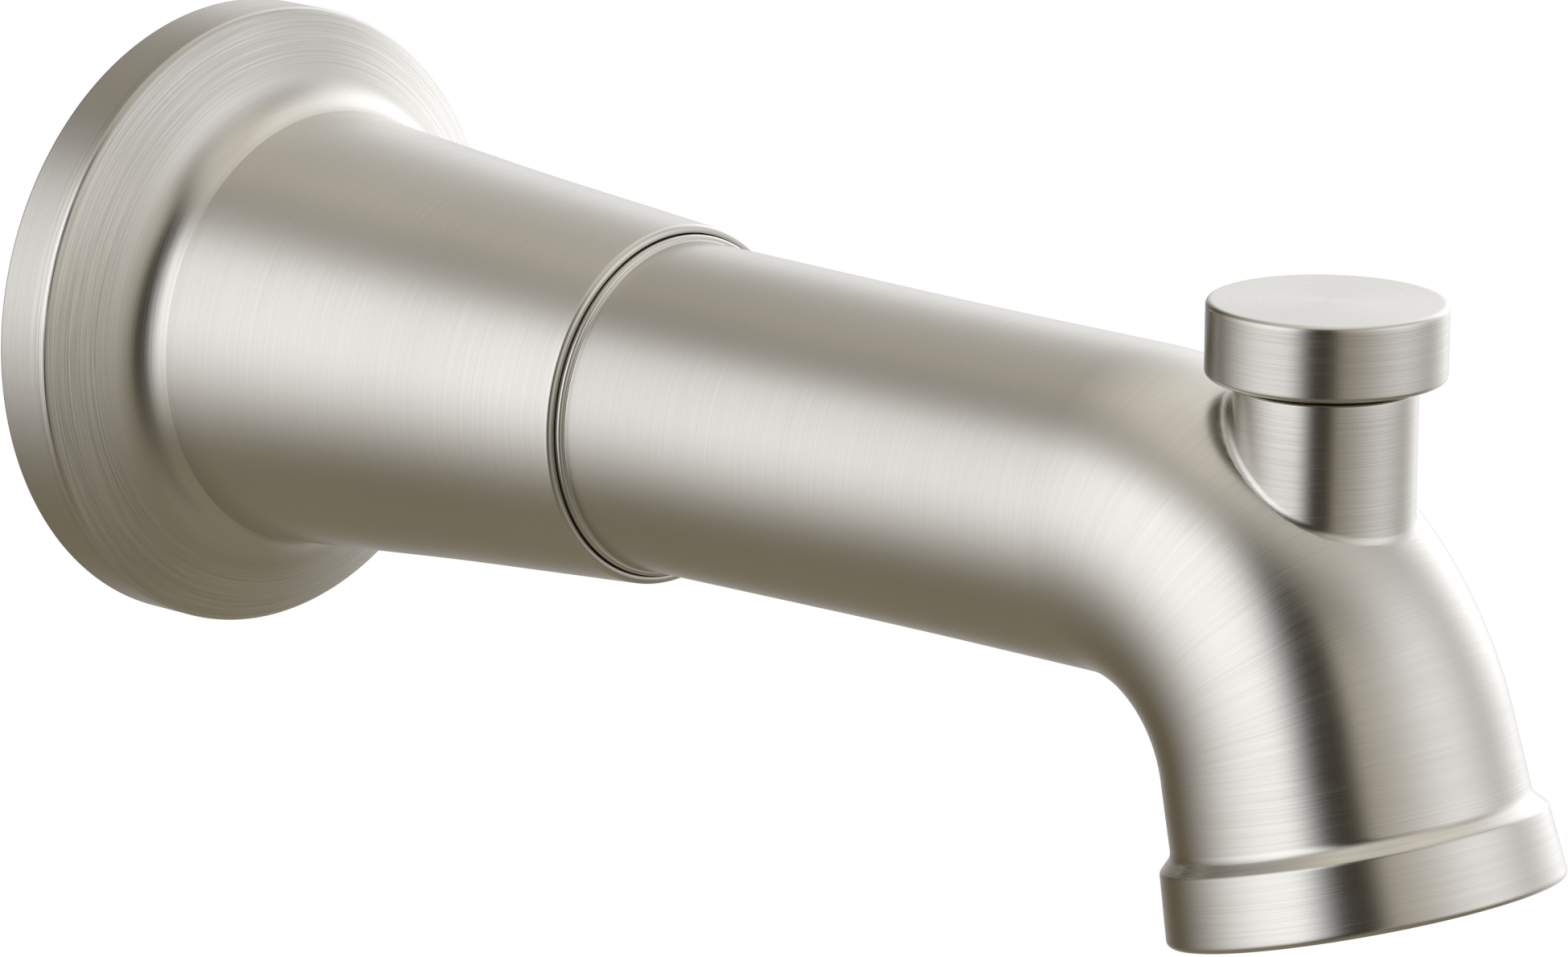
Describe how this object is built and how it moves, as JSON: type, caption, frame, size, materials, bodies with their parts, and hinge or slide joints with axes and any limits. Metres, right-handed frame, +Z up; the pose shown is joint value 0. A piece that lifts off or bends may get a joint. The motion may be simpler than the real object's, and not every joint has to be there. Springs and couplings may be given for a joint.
{
  "type": "bath spout",
  "caption": "Wall-mounted bath spout: round flange, tapered sleeve, plain tube turned down in an elbow to a banded outlet, and a pull-up diverter knob above it.",
  "frame": {"origin": "centre of the flange's back face, on the finished wall", "axes": "+X out from the wall along the spout, +Z up along the lift of the knob"},
  "size_m": [0.1926, 0.0728, 0.0798],
  "materials": {
    "sleeve_nickel": "brushed nickel plate, brushed around each turned form",
    "spout_nickel": "brushed nickel plate, brushed around each turned form",
    "knob_nickel": "brushed nickel plate, brushed around each turned form",
    "rod_steel": "plain turned stainless steel",
    "valve_plastic": "moulded",
    "seal_rubber": "moulded, matt",
    "nut_steel": "plain turned stainless steel",
    "bushing_brass": "plain turned",
    "seat_brass": "plain turned",
    "adapter_brass": "plain turned",
    "gasket_foam": "closed-cell foam"
  },
  "bodies": {
    "spout": {"flange_sleeve": "sleeve_nickel", "spout_body": "spout_nickel", "stem_bushing": "bushing_brass", "stem_o_ring": "seal_rubber", "stem_washer": "valve_plastic", "diverter_seat": "seat_brass", "inlet_adapter": "adapter_brass", "adapter_o_ring": "seal_rubber", "sleeve_o_ring": "seal_rubber", "wall_gasket": "gasket_foam"},
    "diverter": {"lift_knob": "knob_nickel", "lift_rod": "rod_steel", "diverter_gate": "valve_plastic", "gate_seal": "seal_rubber", "gate_nut": "nut_steel"}
  },
  "joints": [
    {"name": "knob_lift", "type": "slide", "parent": "spout", "child": "diverter", "axis": [0, 0, 1], "range_m": [0, 0.01]}
  ]
}
